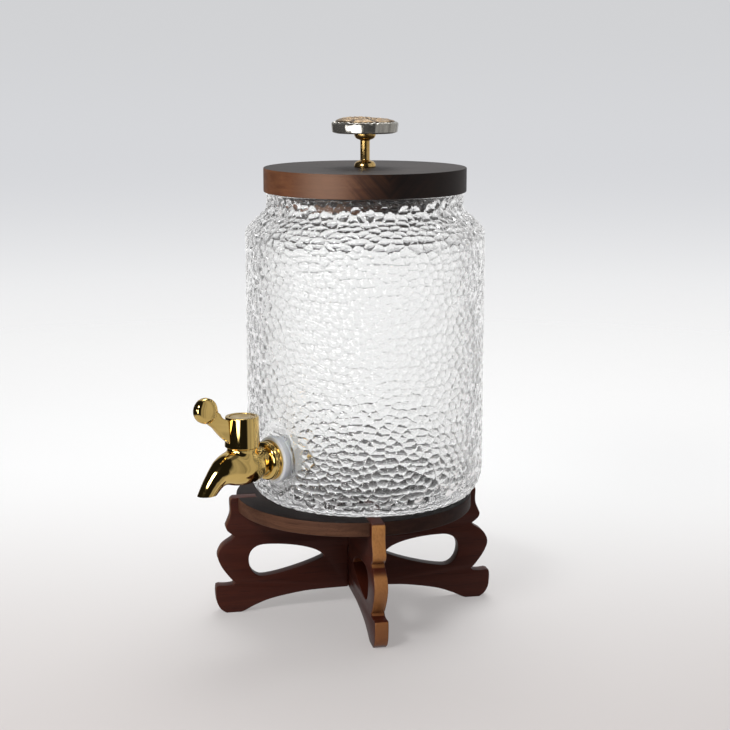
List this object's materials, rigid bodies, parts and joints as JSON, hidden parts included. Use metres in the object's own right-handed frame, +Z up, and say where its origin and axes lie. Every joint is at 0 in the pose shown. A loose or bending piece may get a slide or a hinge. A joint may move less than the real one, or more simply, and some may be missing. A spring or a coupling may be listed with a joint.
{
  "type": "glass beverage dispenser",
  "caption": "Hammered glass drink jar with a brass-look turning tap, a round wooden lid with a knob, and a slotted wooden stand with scrolled legs.",
  "frame": {"origin": "centre of the whole dispenser's footprint, on the surface that it stands on", "axes": "+Z up; the tap points along -Y; +X to the right of someone facing the tap"},
  "size_m": [0.177, 0.2288, 0.3467],
  "materials": {
    "glass": "clear, hammered all over, smooth at the tap's seat",
    "gold": "polished gold plating",
    "nickel": "soft-polished nickel, hand finished",
    "relief_gold": "rough antique gold",
    "steel": "plain zinc-plated fastener",
    "silicone": "translucent white silicone",
    "nut_plastic": "white moulded plastic",
    "dark_rubber": "black O-ring rubber",
    "walnut": "oiled dark walnut, satin",
    "stand_wood": "dark red-brown stain under satin varnish"
  },
  "bodies": {
    "stand": {"leg_board_front": "stand_wood", "leg_board_side": "stand_wood", "stand_plate": "stand_wood"},
    "jar": {"glass_jar": "glass", "tap_body": "gold", "outer_washer": "silicone", "inner_washer": "silicone", "tap_nut": "nut_plastic"},
    "lid": {"lid_board": "walnut", "lid_seal": "silicone", "knob_stem": "gold", "knob_head": "nickel", "knob_relief": "relief_gold", "knob_screw_washer": "steel", "knob_screw": "steel"},
    "tap_lever": {"tap_handle": "gold", "handle_cap": "gold", "handle_screw": "steel", "valve_core": "nut_plastic", "core_o_ring_upper": "dark_rubber", "core_o_ring_lower": "dark_rubber"}
  },
  "joints": [
    {"name": "jar_lift", "type": "slide", "parent": "stand", "child": "jar", "axis": [0, 0, 1], "range_m": [0, 0.12]},
    {"name": "lid_lift", "type": "slide", "parent": "jar", "child": "lid", "axis": [0, 0, 1], "range_m": [0, 0.06]},
    {"name": "tap_turn", "type": "hinge", "parent": "jar", "child": "tap_lever", "pos_m": [0.00591, -0.07637, 0.1333], "axis": [0, 0, 1], "range_deg": [-90, 90]}
  ]
}
